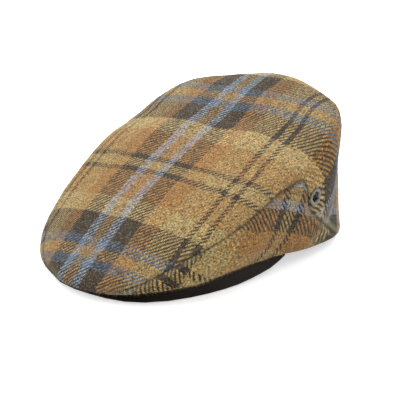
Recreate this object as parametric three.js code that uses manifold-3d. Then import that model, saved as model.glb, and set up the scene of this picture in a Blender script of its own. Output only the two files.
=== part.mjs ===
// Tweed flat cap: a one-piece top, two side panels, a stiff peak and two metal vent eyelets.
// Millimetres, Z up. The front of the cap faces -Y and the wearer's left is +X.
// The cap rests on its back hem and on the sides of the peak, as it would on a table.

import * as THREE from "three";
import Module from "manifold-3d";

// ---- Driving sizes ----
const CLOTH = 2.0; // tweed with its backing
const PRESSED = 1.0; // how much thinner the cloth is pressed where it folds over the front
const PRESSED_TO = 50; // direction where the pressed fold has opened out again
const SEAM_GAP = 0.3; // between two panels, where the stitched groove is
const PEAK_SHIFT = 2.0; // how far the underside of the peak is inward and down from its top
const HEM_GAP = 0.35; // between the hem and the peak it sits on
const CROWN_HEIGHT = 91; // above the table, over the middle of the head opening
const CENTRE_Y = 32.5; // every section is measured from an upright line at this Y
const MIDWAY = 0.55; // where the top's middle height is taken, as a share of the edge radius

// The crown, one row for each direction: 0 is the front, 90 the side and 180 the back.
// R is the distance from the upright line and Z the height. The hem is the bottom edge,
// the belly is the widest place, the edge is where the top turns over, and mid is on the top.
const CROWN = [
  { turn: 0, hemR: 153.5, hemZ: 3, bellyR: 167, bellyZ: 8.5, edgeR: 158, edgeZ: 15.5, midZ: 57 },
  { turn: 30, hemR: 126, hemZ: 12.5, bellyR: 145, bellyZ: 16, edgeR: 133, edgeZ: 35, midZ: 66.5 },
  { turn: 60, hemR: 90, hemZ: 12, bellyR: 99, bellyZ: 36, edgeR: 100, edgeZ: 63.5, midZ: 82 },
  { turn: 90, hemR: 82, hemZ: 8, bellyR: 95.5, bellyZ: 46, edgeR: 91.5, edgeZ: 77, midZ: 89.5 },
  { turn: 120, hemR: 88.5, hemZ: 6, bellyR: 85, bellyZ: 53, edgeR: 86, edgeZ: 99.5, midZ: 98.5 },
  { turn: 150, hemR: 92.5, hemZ: 0, bellyR: 93.5, bellyZ: 50, edgeR: 82, edgeZ: 105, midZ: 107 },
  { turn: 180, hemR: 95, hemZ: 0, bellyR: 100, bellyZ: 50, edgeR: 76.5, edgeZ: 111, midZ: 109.5 },
];

// The seam between the top and a side panel, as straight runs between these marks. Level 0
// is the hem and level 2 the edge. The seam climbs from the hem at the front, follows the
// edge, drops steeply at the corner of the side panel, and runs back to the hem.
const SEAM = [
  { turn: 3, level: 0 },
  { turn: 7, level: 0.8 },
  { turn: 11, level: 1.2 },
  { turn: 16, level: 1.5 },
  { turn: 21, level: 1.75 },
  { turn: 27, level: 1.93 },
  { turn: 34, level: 2 },
  { turn: 74, level: 2 },
  { turn: 77, level: 1.7 },
  { turn: 80, level: 1.05 },
  { turn: 97, level: 0.4 },
  { turn: 117, level: 0 },
];

// The peak, one row for each direction. Inner is the edge against the forehead and lip is
// the free edge. Between them the peak passes just under the hem of the crown.
const PEAK = [
  { turn: 0, innerR: 92, innerZ: 22, lipR: 157, lipZ: 2 },
  { turn: 15, innerR: 91, innerZ: 22, lipR: 153, lipZ: 1 },
  { turn: 30, innerR: 87, innerZ: 21, lipR: 127, lipZ: 0 },
  { turn: 45, innerR: 83, innerZ: 20, lipR: 106, lipZ: 3 },
  { turn: 60, innerR: 80, innerZ: 18, lipR: 92, lipZ: 7 },
  { turn: 75, innerR: 78, innerZ: 16, lipR: 81, lipZ: 10 },
];
const PEAK_END = 71; // direction of the two ends of the peak

// The vent eyelets, one on each side just behind the corner of the side panel.
const EYELET = { turn: 82.5, level: 1.42, outerR: 6.0, holeR: 2.8, barrelR: 3.6, flange: 1.0 };
const EYELET_DEPTH = 3.4; // barrel behind the flange, through the cloth
const EYELET_FACETS = 32;

// ---- Curves ----

// A smooth curve from b to c that leans on its neighbours a and d, without overshooting
// where one span is much shorter than the next. Points are [radius, height].
function smoothSpan(a, b, c, d, along) {
  const before = Math.sqrt(Math.max(Math.hypot(b[0] - a[0], b[1] - a[1]), 1e-6));
  const here = Math.sqrt(Math.max(Math.hypot(c[0] - b[0], c[1] - b[1]), 1e-6));
  const after = Math.sqrt(Math.max(Math.hypot(d[0] - c[0], d[1] - c[1]), 1e-6));
  const out = [];
  for (let i = 0; i < 2; i += 1) {
    const step = (c[i] - b[i]) / here;
    const leave = here * ((b[i] - a[i]) / before - (c[i] - a[i]) / (before + here) + step);
    const arrive = here * (step - (d[i] - b[i]) / (here + after) + (d[i] - c[i]) / after);
    const s2 = along * along;
    const s3 = s2 * along;
    const keep = 2 * s3 - 3 * s2 + 1;
    out.push(b[i] * keep + c[i] * (1 - keep) + leave * (s3 - 2 * s2 + along) + arrive * (s3 - s2));
  }
  return out;
}

// Reads a table at any direction. The table is the same on both sides of the cap, so it
// is mirrored at the front, and at the back if it reaches that far.
function readRow(table, turn) {
  const spacing = table[1].turn - table[0].turn;
  const last = table.length - 1;
  const folded = Math.abs(((turn + 540) % 360) - 180) / spacing;
  const first = Math.min(Math.floor(folded), last - 1);
  const part = folded - first;
  const row = (index) => {
    const near = Math.abs(index);
    return table[near > last ? 2 * last - near : near];
  };
  const result = {};
  for (const name of Object.keys(table[0])) {
    const a = row(first - 1)[name];
    const b = row(first)[name];
    const c = row(first + 1)[name];
    const d = row(first + 2)[name];
    const bend = (2 * a - 5 * b + 4 * c - d) * part * part + (3 * b - a - 3 * c + d) * part ** 3;
    result[name] = 0.5 * (2 * b + (c - a) * part + bend);
  }
  return result;
}

// ---- The crown's surface ----

const toRadians = (turn) => (turn * Math.PI) / 180;

function place(turn, radius, height) {
  const angle = toRadians(turn);
  return new THREE.Vector3(radius * Math.sin(angle), CENTRE_Y - radius * Math.cos(angle), height);
}

// The outside of the crown. Level 0 is the hem, 1 the belly, 2 the edge, 3 the middle of
// the top and 4 the point over the head opening.
function crownPoint(turn, level) {
  const row = readRow(CROWN, turn);
  const across = readRow(CROWN, turn + 180);
  const hem = [row.hemR, row.hemZ];
  const belly = [row.bellyR, row.bellyZ];
  const knots = [
    [2 * hem[0] - belly[0], 2 * hem[1] - belly[1]],
    hem,
    belly,
    [row.edgeR, row.edgeZ],
    [row.edgeR * MIDWAY, row.midZ],
    [0, CROWN_HEIGHT],
    [-across.edgeR * MIDWAY, across.midZ],
  ];
  const span = Math.min(Math.floor(level), 3);
  const [a, b, c, d] = knots.slice(span, span + 4);
  const [radius, height] = smoothSpan(a, b, c, d, level - span);
  return place(turn, radius, Math.max(height, 0));
}

// The direction straight out of the crown's surface.
function crownNormal(turn, level) {
  if (level > 3.9) {
    const ring = [0, 90, 180, 270].map((side) => crownNormal(side, 3.9));
    return ring.reduce((sum, one) => sum.add(one), new THREE.Vector3()).normalize();
  }
  const low = Math.max(level - 0.01, 0);
  const up = crownPoint(turn, level + 0.01).sub(crownPoint(turn, low));
  const round = crownPoint(turn + 0.2, level).sub(crownPoint(turn - 0.2, level));
  return round.cross(up).normalize();
}

// How high the seam is at a direction, as a level of the crown.
function seamLevel(turn) {
  const side = Math.abs(turn);
  const next = SEAM.findIndex((mark) => mark.turn > side);
  if (next < 1) {
    return 0;
  }
  const [from, to] = [SEAM[next - 1], SEAM[next]];
  return from.level + ((to.level - from.level) * (side - from.turn)) / (to.turn - from.turn);
}

// How thick the cloth is. The fold over the front of the peak is pressed thinner.
function clothAt(turn, level) {
  const side = Math.abs(((turn + 540) % 360) - 180);
  const forward = Math.max(1 - side / PRESSED_TO, 0);
  const folded = Math.max(1 - Math.abs(level - 1), 0);
  return CLOTH - PRESSED * Math.min(1.4 * forward, 1) * folded;
}

// A pair of points, outside and inside the cloth. Shift moves the pair square to the seam,
// towards the top panel if positive.
function clothPair(turn, level, shift) {
  const normal = crownNormal(turn, level);
  const outside = crownPoint(turn, level);
  if (shift !== 0) {
    const ahead = crownPoint(turn + 0.2, seamLevel(turn + 0.2));
    const behind = crownPoint(turn - 0.2, seamLevel(turn - 0.2));
    const across = normal.clone().cross(ahead.sub(behind).normalize());
    outside.addScaledVector(across, shift);
  }
  const inside = outside.clone().addScaledVector(normal, -clothAt(turn, level));
  if (outside.z < 0.01) {
    inside.z = 0;
  }
  inside.z = Math.max(inside.z, 0);
  return { outside, inside };
}

// ---- Closed meshes ----

// Builds a closed body from columns of point pairs, one outside and one inside. Columns run
// round the part and each has the same number of pairs. The same pair may be used again by
// its neighbours, where a column is shorter or where all columns meet in one point. A looped
// body joins its last column to its first.
function closedBody(columns, looped) {
  const rows = columns[0].length;
  const points = [];
  const faces = [];
  const numbers = new Map();
  for (const pair of columns.flat()) {
    if (!numbers.has(pair)) {
      numbers.set(pair, points.length);
      points.push(pair.outside, pair.inside);
    }
  }
  const at = (i, j, inner) => numbers.get(columns[i % columns.length][j]) + inner;
  const triangle = (a, b, c) => {
    if (a !== b && b !== c && a !== c) {
      faces.push(a, b, c);
    }
  };
  // The dividing line leans the other way on the other side, so both sides match.
  const quad = (a, b, c, d) => {
    if (points[a].x + points[b].x + points[c].x + points[d].x > 0) {
      triangle(a, b, c);
      triangle(a, c, d);
    } else {
      triangle(a, b, d);
      triangle(b, c, d);
    }
  };
  const top = rows - 1;
  const spans = looped ? columns.length : columns.length - 1;
  for (let i = 0; i < spans; i += 1) {
    for (let j = 0; j < top; j += 1) {
      quad(at(i, j, 0), at(i + 1, j, 0), at(i + 1, j + 1, 0), at(i, j + 1, 0));
      quad(at(i, j, 1), at(i, j + 1, 1), at(i + 1, j + 1, 1), at(i + 1, j, 1));
    }
    quad(at(i, 0, 0), at(i, 0, 1), at(i + 1, 0, 1), at(i + 1, 0, 0));
    if (columns[i][top] !== columns[(i + 1) % columns.length][top]) {
      quad(at(i, top, 0), at(i + 1, top, 0), at(i + 1, top, 1), at(i, top, 1));
    }
  }
  if (!looped) {
    const end = columns.length - 1;
    for (let j = 0; j < top; j += 1) {
      quad(at(0, j, 0), at(0, j + 1, 0), at(0, j + 1, 1), at(0, j, 1));
      quad(at(end, j, 0), at(end, j, 1), at(end, j + 1, 1), at(end, j + 1, 0));
    }
  }
  const geometry = new THREE.BufferGeometry();
  const flat = points.flatMap((point) => [point.x, point.y, point.z]);
  geometry.setAttribute("position", new THREE.Float32BufferAttribute(flat, 3));
  geometry.setIndex(faces);
  return geometry;
}

// Evenly spaced values, both ends included.
function spread(from, to, steps) {
  const values = [];
  for (let i = 0; i <= steps; i += 1) {
    values.push(from + ((to - from) * i) / steps);
  }
  return values;
}

// ---- Panels ----

const WALL_ROWS = 6; // from the hem or the seam up to the edge
const TOP_ROWS = 8; // from the edge to the point over the head opening
const SIDE_ROWS = 7;
const SIDE_START = 5;
const SIDE_END = 115;

// The directions of one side from front to back, shared by the top and the side panels.
const HALF = [
  ...[0, 1.5, 3, 5, 7, 9, 11, 13.5, 16, 18.5, 21, 24, 27, 30.5],
  ...spread(34, 74, 8),
  ...[75.5, 77, 78.5, 80, 83.4, 86.8, 90.2, 93.6],
  ...spread(97, 115, 4),
  ...spread(117, 180, 12),
];

function topGeometry() {
  const around = [...HALF, ...HALF.slice(1, -1).reverse().map((turn) => -turn)];
  const point = clothPair(0, 4, 0);
  const columns = around.map((turn) => {
    const start = seamLevel(turn);
    const border = clothPair(turn, start, start > 0 ? SEAM_GAP / 2 : 0);
    const pairs = [border];
    for (let j = 1; j <= WALL_ROWS; j += 1) {
      pairs.push(start === 2 ? border : clothPair(turn, start + ((2 - start) * j) / WALL_ROWS, 0));
    }
    for (let j = 1; j < TOP_ROWS; j += 1) {
      pairs.push(clothPair(turn, 2 + (2 * j) / TOP_ROWS, 0));
    }
    return [...pairs, point];
  });
  return closedBody(columns, true);
}

function sideGeometry(sign) {
  const range = HALF.filter((turn) => turn >= SIDE_START && turn <= SIDE_END);
  const around = sign > 0 ? range : range.map((turn) => -turn).reverse();
  const columns = around.map((turn) => {
    const stop = seamLevel(turn);
    const pairs = [];
    for (let j = 0; j < SIDE_ROWS; j += 1) {
      pairs.push(clothPair(turn, (stop * j) / SIDE_ROWS, 0));
    }
    pairs.push(clothPair(turn, stop, -SEAM_GAP / 2));
    return pairs;
  });
  return closedBody(columns, false);
}

// ---- Peak ----

const PEAK_ROWS = 4;
const PEAK_STEPS = 26;

function peakGeometry() {
  const columns = spread(-PEAK_END, PEAK_END, PEAK_STEPS).map((turn) => {
    const row = readRow(PEAK, turn);
    const crown = readRow(CROWN, turn);
    const inner = [row.innerR, row.innerZ];
    const neck = [crown.hemR - CLOTH, crown.hemZ - HEM_GAP];
    const lip = [row.lipR, Math.max(row.lipZ, 0)];
    const before = [2 * inner[0] - neck[0], 2 * inner[1] - neck[1]];
    const after = [2 * lip[0] - neck[0], 2 * lip[1] - neck[1]];
    const line = [];
    for (let j = 0; j < PEAK_ROWS; j += 1) {
      line.push(smoothSpan(lip, neck, inner, before, j / PEAK_ROWS));
    }
    const skirt = [];
    for (let j = 0; j < PEAK_ROWS; j += 1) {
      skirt.push(smoothSpan(after, lip, neck, inner, j / PEAK_ROWS));
    }
    return [...skirt, ...line, inner].map(([radius, height]) => ({
      outside: place(turn, radius, Math.max(height, 0)),
      inside: place(turn, radius - PEAK_SHIFT, Math.max(height - PEAK_SHIFT, 0)),
    }));
  });
  return closedBody(columns, false);
}

// ---- Eyelets ----

// A flanged ring, turned about its own axis. The flange is outside the cloth and the barrel
// goes through the hole.
function eyeletRing() {
  const profile = [
    [EYELET.holeR, -EYELET_DEPTH],
    [EYELET.barrelR, -EYELET_DEPTH],
    [EYELET.barrelR, 0],
    [EYELET.outerR, 0],
    [EYELET.outerR - 0.3, EYELET.flange * 0.7],
    [EYELET.outerR - 1.4, EYELET.flange],
    [EYELET.holeR + 0.5, EYELET.flange * 0.8],
    [EYELET.holeR, EYELET.flange * 0.3],
  ];
  const points = [];
  const faces = [];
  for (let i = 0; i < EYELET_FACETS; i += 1) {
    const angle = (i / EYELET_FACETS) * 2 * Math.PI;
    for (const [radius, height] of profile) {
      points.push(radius * Math.cos(angle), radius * Math.sin(angle), height);
    }
  }
  const count = profile.length;
  for (let i = 0; i < EYELET_FACETS; i += 1) {
    const next = (i + 1) % EYELET_FACETS;
    for (let j = 0; j < count; j += 1) {
      const up = (j + 1) % count;
      faces.push(i * count + j, next * count + j, next * count + up);
      faces.push(i * count + j, next * count + up, i * count + up);
    }
  }
  const geometry = new THREE.BufferGeometry();
  geometry.setAttribute("position", new THREE.Float32BufferAttribute(points, 3));
  geometry.setIndex(faces);
  return geometry;
}

// Sets a shape's own Z axis along the crown's normal at the eyelet, with its origin at the
// given height over the cloth.
function seatAtEyelet(geometry, sign, height) {
  const normal = crownNormal(sign * EYELET.turn, EYELET.level);
  const seat = crownPoint(sign * EYELET.turn, EYELET.level).addScaledVector(normal, height);
  const turn = new THREE.Quaternion().setFromUnitVectors(new THREE.Vector3(0, 0, 1), normal);
  geometry.applyQuaternion(turn);
  geometry.translate(seat.x, seat.y, seat.z);
  return geometry;
}

// ---- Cutting the eyelet holes ----

const wasm = await Module();
wasm.setup();

function toSolid(geometry) {
  const vertProperties = new Float32Array(geometry.getAttribute("position").array);
  const triVerts = new Uint32Array(geometry.getIndex().array);
  const mesh = new wasm.Mesh({ numProp: 3, vertProperties, triVerts });
  mesh.merge();
  return new wasm.Manifold(mesh);
}

function fromSolid(solid) {
  const mesh = solid.getMesh();
  const geometry = new THREE.BufferGeometry();
  geometry.setAttribute("position", new THREE.Float32BufferAttribute(mesh.vertProperties, 3));
  geometry.setIndex(Array.from(mesh.triVerts));
  return geometry;
}

function holeCutter(sign) {
  const cutter = new THREE.CylinderGeometry(EYELET.barrelR + 0.4, EYELET.barrelR + 0.4, 12, 24);
  cutter.rotateX(Math.PI / 2);
  cutter.deleteAttribute("normal");
  cutter.deleteAttribute("uv");
  return toSolid(seatAtEyelet(cutter, sign, -1));
}

const top = toSolid(topGeometry()).subtract(holeCutter(1)).subtract(holeCutter(-1));

// ---- Assembly ----

const part = new THREE.Group();
part.name = "flat_cap";

function addPiece(name, geometry, colour, metalness) {
  const roughness = metalness > 0.5 ? 0.35 : 0.95;
  const material = new THREE.MeshStandardMaterial({ color: colour, metalness, roughness });
  geometry.computeVertexNormals();
  const mesh = new THREE.Mesh(geometry, material);
  mesh.name = name;
  part.add(mesh);
}

addPiece("top_panel", fromSolid(top), 0x8a6a3c, 0);
addPiece("side_panel_left", sideGeometry(1), 0x7c5a30, 0);
addPiece("side_panel_right", sideGeometry(-1), 0x7c5a30, 0);
addPiece("peak", peakGeometry(), 0x1c1410, 0);
addPiece("eyelet_left", seatAtEyelet(eyeletRing(), 1, 0.55), 0xb0b2b4, 1);
addPiece("eyelet_right", seatAtEyelet(eyeletRing(), -1, 0.55), 0xb0b2b4, 1);

export default part;
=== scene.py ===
# %% [markdown]
# # A checked tweed flat cap
# A flat cap is cut from a few shaped pieces of wool cloth. One long piece makes the top, comes
# down over the front, and wraps round the back. A long triangle on each side joins it to the
# hem. A stiff peak sits under the front, and each side has a small metal vent eyelet.
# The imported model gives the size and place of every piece, so it is loaded first. Blender
# works in metres, and a cap maker in millimetres, so MM turns one into the other.

# %% Load the frame
import math

import bmesh
import bpy
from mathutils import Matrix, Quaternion, Vector, kdtree, noise


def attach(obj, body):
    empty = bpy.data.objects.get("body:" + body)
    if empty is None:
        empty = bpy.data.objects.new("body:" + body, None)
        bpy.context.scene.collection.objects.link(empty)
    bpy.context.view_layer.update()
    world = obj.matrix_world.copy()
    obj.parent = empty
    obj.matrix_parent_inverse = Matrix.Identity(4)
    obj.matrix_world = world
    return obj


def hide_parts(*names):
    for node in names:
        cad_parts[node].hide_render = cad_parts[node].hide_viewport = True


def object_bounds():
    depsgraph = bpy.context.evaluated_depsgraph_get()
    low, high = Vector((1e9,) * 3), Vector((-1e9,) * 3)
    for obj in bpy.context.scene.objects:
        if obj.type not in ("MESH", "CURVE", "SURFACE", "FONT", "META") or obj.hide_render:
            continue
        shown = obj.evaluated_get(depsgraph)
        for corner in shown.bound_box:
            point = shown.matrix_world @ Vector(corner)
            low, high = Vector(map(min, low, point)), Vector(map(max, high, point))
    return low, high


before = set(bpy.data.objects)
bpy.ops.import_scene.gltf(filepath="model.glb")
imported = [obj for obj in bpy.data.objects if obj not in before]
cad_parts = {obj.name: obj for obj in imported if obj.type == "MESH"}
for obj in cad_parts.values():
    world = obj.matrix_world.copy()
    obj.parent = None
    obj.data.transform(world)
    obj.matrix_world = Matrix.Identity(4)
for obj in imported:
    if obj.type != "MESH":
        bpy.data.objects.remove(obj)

MM = 0.001
scene = bpy.context.scene
cad_low, cad_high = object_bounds()
print("nodes:", sorted(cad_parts))
print("box of the solids:", [round(v, 4) for v in (*cad_low, *cad_high)])

# %% [markdown]
# ## The camera
# The cap is seen from the front and from the wearer's left, a little from above. A long lens
# from nearly a metre and a half away keeps its lines calm, where a short lens close by would
# swell the front. The lens is shifted so that the cap sits a touch high. Turning the camera
# would do that too, but it would also slant the cap's upright lines.

# %% Camera
AZIMUTH = math.radians(38)
ELEVATION = math.radians(18)
DISTANCE = 1.4
TARGET = Vector((0, 0.0125, 0.050))
LENS = 167.6
LENS_SHIFT = (-0.0178, -0.050)

outward = Vector((
    math.sin(AZIMUTH) * math.cos(ELEVATION),
    -math.cos(AZIMUTH) * math.cos(ELEVATION),
    math.sin(ELEVATION),
))
camera_data = bpy.data.cameras.new("camera")
camera_data.sensor_width = 36
camera_data.lens = LENS
camera_data.shift_x, camera_data.shift_y = LENS_SHIFT
camera = bpy.data.objects.new("camera", camera_data)
camera.location = TARGET + outward * DISTANCE
camera.rotation_euler = outward.to_track_quat("Z", "Y").to_euler()
scene.collection.objects.link(camera)
scene.camera = camera
scene.view_settings.view_transform = "Standard"
print("camera at", [round(v, 3) for v in camera.location])

# %% [markdown]
# ## Lamps
# The light is plain studio light: a big soft lamp on the left of the view, a strong one behind
# the cap that brightens the wool along its top, and a weak one on the right. Each is a wide
# disk, because a small lamp would cast hard shadows.

# %% Three lamps
LAMP_WIDTH = 0.9
LAMPS = {
    "key": ((-1.25, 0.05, 0.9), 12.5),
    "fill": ((1.2, 0.5, 0.7), 0.6),
    "back_light": ((-0.6, 1.05, 1.0), 21),
}

for name, (spot, watts) in LAMPS.items():
    data = bpy.data.lights.new(name, "AREA")
    data.shape = "DISK"
    data.size = LAMP_WIDTH
    data.energy = watts
    lamp = bpy.data.objects.new(name, data)
    lamp.location = spot
    lamp.rotation_euler = (Vector(spot) - TARGET).to_track_quat("Z", "Y").to_euler()
    scene.collection.objects.link(lamp)
print("lamps:", ", ".join(LAMPS))

# %% [markdown]
# ## Building node trees in code
# The surround and every finish below are small networks of nodes. They could be wired by hand
# in the shader editor, but in code each one can be read from top to bottom and made again.
# These helpers feed a node's inputs, add a node, and do arithmetic on what nodes put out.

# %% Helpers for nodes
def plug(tree, node, **inputs):
    """Feeds inputs by name, or by number, as i0 and i1, where several share a name."""
    for key, value in inputs.items():
        numbered = key[0] == "i" and key[1:].isdigit()
        socket = node.inputs[int(key[1:]) if numbered else key.replace("_", " ")]
        if isinstance(value, bpy.types.NodeSocket):
            tree.links.new(value, socket)
        else:
            socket.default_value = value


def add_node(tree, kind, settings=None, **inputs):
    """Adds a node and returns its outputs. An input is a number, a colour or another output."""
    node = tree.nodes.new(kind)
    for key, value in (settings or {}).items():
        setattr(node, key, value)
    plug(tree, node, **inputs)
    return node.outputs


def calc(tree, operation, *values, kind="ShaderNodeMath"):
    """Arithmetic on numbers and sockets."""
    inputs = {f"i{index}": value for index, value in enumerate(values)}
    return add_node(tree, kind, {"operation": operation}, **inputs)[0]


def vector_calc(tree, operation, *values):
    """The same for places and colours, which have three numbers each."""
    return calc(tree, operation, *values, kind="ShaderNodeVectorMath")


print("helpers: plug, add_node, calc and vector_calc")

# %% [markdown]
# ## The surround
# White walls would light the cap from all round and keep its shadows faint. A world shader
# does the same without any walls. It is brightest above and behind the cap, a little to the
# left. The dot product of a direction with that side grows from -1 on the far side to 1, and
# Map Range turns it into a brightness.

# %% World
BRIGHT_SIDE = (-0.62, 0.45, 0.64)
DIMMEST, BRIGHTEST = 0.22, 2.6
DAYLIGHT = (0.97, 0.98, 1.0, 1)

world = bpy.data.worlds.new("surround")
world.use_nodes = True
sky = world.node_tree
direction = add_node(sky, "ShaderNodeTexCoord")["Generated"]
facing = add_node(
    sky, "ShaderNodeVectorMath", {"operation": "DOT_PRODUCT"}, i0=direction, i1=BRIGHT_SIDE
)["Value"]
brightness = add_node(
    sky, "ShaderNodeMapRange",
    Value=facing, From_Min=-1.0, From_Max=1.0, To_Min=DIMMEST, To_Max=BRIGHTEST,
)[0]
plug(sky, sky.nodes["Background"], Color=DAYLIGHT, Strength=brightness)
scene.world = world
print("surround:", DIMMEST, "to", BRIGHTEST)

# %% [markdown]
# ## Helpers for finishes
# A colour is easiest to pick as a painter sees it, but Blender mixes light in linear values,
# so one helper converts it. The others blend two colours, start a material, start a group
# that several materials share, place that group, and turn a height into relief. Relief by
# bump is right for threads and fuzz. Anything larger on this cap is real geometry.

# %% Helpers for colours and materials
def srgb(red, green, blue):
    """A painter's colour from 0 to 255, turned into linear light."""
    shares = (red / 255, green / 255, blue / 255)
    return (*[((c + 0.055) / 1.055) ** 2.4 if c > 0.04045 else c / 12.92 for c in shares], 1.0)


def blend_colour(tree, factor, first, second):
    return add_node(tree, "ShaderNodeMix", {"data_type": "RGBA"}, i0=factor, i6=first, i7=second)[2]


def start_material(name):
    """A new material. Returns it with its tree and its Principled BSDF."""
    material = bpy.data.materials.new(name)
    material.use_nodes = True
    tree = material.node_tree
    return material, tree, tree.nodes["Principled BSDF"]


def start_group(name, inputs, outputs):
    """A node group with named sockets. Returns its tree, its inputs and its output node."""
    tree = bpy.data.node_groups.new(name, "ShaderNodeTree")
    for label, kind, default in inputs:
        socket = tree.interface.new_socket(label, in_out="INPUT", socket_type="NodeSocket" + kind)
        if default is not None:
            socket.default_value = default
    for label, kind in outputs:
        tree.interface.new_socket(label, in_out="OUTPUT", socket_type="NodeSocket" + kind)
    return tree, tree.nodes.new("NodeGroupInput").outputs, tree.nodes.new("NodeGroupOutput")


def use_group(tree, group, **inputs):
    return add_node(tree, "ShaderNodeGroup", {"node_tree": group}, **inputs)


def add_relief(tree, shader, height, strength, depth):
    """Makes light fall as if the surface rose and sank with the height."""
    plug(tree, shader, Normal=add_node(
        tree, "ShaderNodeBump", Strength=strength, Distance=depth, Height=height
    )[0])


print("a painter's middle grey in linear light:", round(srgb(128, 128, 128)[0], 3))

# %% [markdown]
# ## The floor
# The floor is a wide sheet of matt white board, lit a little from below as a light table is,
# so that shadows stay faint. One flat face is enough for it. It is part of the studio and not
# of the cap.

# %% Floor
FLOOR_REACH = 6.0
FLOOR_DROP = 0.0004

floor_mesh = bpy.data.meshes.new("floor")
corners = [Vector((x, y, 0)) * FLOOR_REACH for x, y in ((-1, -1), (1, -1), (1, 1), (-1, 1))]
floor_mesh.from_pydata(corners, [], [(0, 1, 2, 3)])
floor = bpy.data.objects.new("floor", floor_mesh)
floor.location.z = cad_low[2] - FLOOR_DROP
scene.collection.objects.link(floor)
floor_material, floor_tree, floor_shader = start_material("white_board")
floor_grain = add_node(floor_tree, "ShaderNodeTexNoise", Scale=3.0, Detail=2.0)[0]
floor_colour = blend_colour(floor_tree, floor_grain, (0.70, 0.70, 0.70, 1), (0.73, 0.73, 0.73, 1))
plug(floor_tree, floor_shader, Base_Color=floor_colour, Roughness=0.9)
plug(floor_tree, floor_shader, Emission_Color=(1, 1, 1, 1), Emission_Strength=0.55)
floor_mesh.materials.append(floor_material)
print("floor at", round(floor.location.z, 4))

# %% [markdown]
# ## The cap's shape as a family of sections
# Cut the crown upright through the middle of the head opening in any direction, and the cut
# shows one smooth curve: up from the hem, out to the belly, over the edge where the top
# begins, and across to the middle. So the crown is a table of such curves, one for every 30
# degrees. It could be sculpted instead, but a table can be read, changed and used again.
# A point is named by its direction, called turn (0 the front, 90 the wearer's left, 180 the
# back), and by its level: 0 the hem, 1 the belly, 2 the edge, 3 halfway in, 4 the centre.
# The same table drives the solids, so these soft skins lie where the solids are. Only the
# seams and the eyelets are placed afresh here, a few millimetres from those of the solids,
# and about a centimetre along the cloth where the right seam dips.

# %% The crown's table, in millimetres
CENTRE_Y = 32.5
CROWN_HEIGHT = 91
MIDWAY = 0.55
SECTION_STEP = 30
CROWN_FIELDS = ("hemR", "hemZ", "bellyR", "bellyZ", "edgeR", "edgeZ", "midZ")
CROWN_ROWS = {
    0: (153.5, 3, 167, 8.5, 158, 15.5, 57),
    30: (126, 12.5, 145, 16, 133, 35, 66.5),
    60: (90, 12, 99, 36, 100, 63.5, 82),
    90: (82, 8, 95.5, 46, 91.5, 77, 89.5),
    120: (88.5, 6, 85, 53, 86, 99.5, 98.5),
    150: (92.5, 0, 93.5, 50, 82, 105, 107),
    180: (95, 0, 100, 50, 76.5, 111, 109.5),
}
CROWN = [dict(zip(CROWN_FIELDS, row)) for row in CROWN_ROWS.values()]
print("crown sections:", len(CROWN))

# %% [markdown]
# Two kinds of curve read the table. Round the cap the rows are evenly spaced, so a plain
# Catmull-Rom curve is smooth enough. Up a section the knots are unevenly spaced, and the
# centripetal kind of the same curve makes no loop between two close knots. Beyond each end
# of a section, one more knot keeps the curve's direction right.

# %% Reading the crown
row_store = {}


def crown_row(turn):
    """The table read in any direction. The right half of the cap mirrors the left one."""
    key = round(turn, 4)
    if key in row_store:
        return row_store[key]
    last = len(CROWN) - 1
    folded = abs(((turn + 540) % 360) - 180) / SECTION_STEP
    first = min(int(folded), last - 1)
    part = folded - first
    rows = [CROWN[last - abs(last - abs(first + step))] for step in (-1, 0, 1, 2)]
    result = {}
    for name in CROWN_FIELDS:
        a, b, c, d = (row[name] for row in rows)
        bend = (2 * a - 5 * b + 4 * c - d) * part ** 2 + (3 * b - a - 3 * c + d) * part ** 3
        result[name] = 0.5 * (2 * b + (c - a) * part + bend)
    row_store[key] = result
    return result


def smooth_span(a, b, c, d, along):
    """A place between knots b and c on the centripetal curve through all four."""
    gaps = [math.sqrt(max(math.dist(p, q), 1e-6)) for p, q in ((a, b), (b, c), (c, d))]
    before, here, after = gaps
    out = []
    for i in (0, 1):
        step = (c[i] - b[i]) / here
        leave = here * ((b[i] - a[i]) / before - (c[i] - a[i]) / (before + here) + step)
        arrive = here * (step - (d[i] - b[i]) / (here + after) + (d[i] - c[i]) / after)
        keep = 2 * along ** 3 - 3 * along ** 2 + 1
        out.append(
            b[i] * keep + c[i] * (1 - keep)
            + leave * (along ** 3 - 2 * along ** 2 + along)
            + arrive * (along ** 3 - along ** 2)
        )
    return out


def crown_point(turn, level):
    """A point on the outside of the crown, in millimetres."""
    row, across = crown_row(turn), crown_row(turn + 180)
    hem, belly = (row["hemR"], row["hemZ"]), (row["bellyR"], row["bellyZ"])
    knots = [
        (2 * hem[0] - belly[0], 2 * hem[1] - belly[1]),
        hem,
        belly,
        (row["edgeR"], row["edgeZ"]),
        (row["edgeR"] * MIDWAY, row["midZ"]),
        (0, CROWN_HEIGHT),
        (-across["edgeR"] * MIDWAY, across["midZ"]),
    ]
    span = min(int(level), 3)
    radius, height = smooth_span(*knots[span:span + 4], level - span)
    angle = math.radians(turn)
    return Vector((radius * math.sin(angle), CENTRE_Y - radius * math.cos(angle), max(height, 0)))


print("height over the middle:", round(crown_point(0, 4).z, 1), "mm")

# %% [markdown]
# ## The seams
# A seam joins the top to each side panel. It leaves the hem at the front, climbs to the edge
# of the crown, turns a tight corner just before the vent eyelet, and drops back to the hem.
# It is a list of turns and levels, joined by straight runs, so it always lies on the crown.
# Sewn by hand, the right one dips in front, where it is up to 8 mm lower than the left one.

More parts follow.
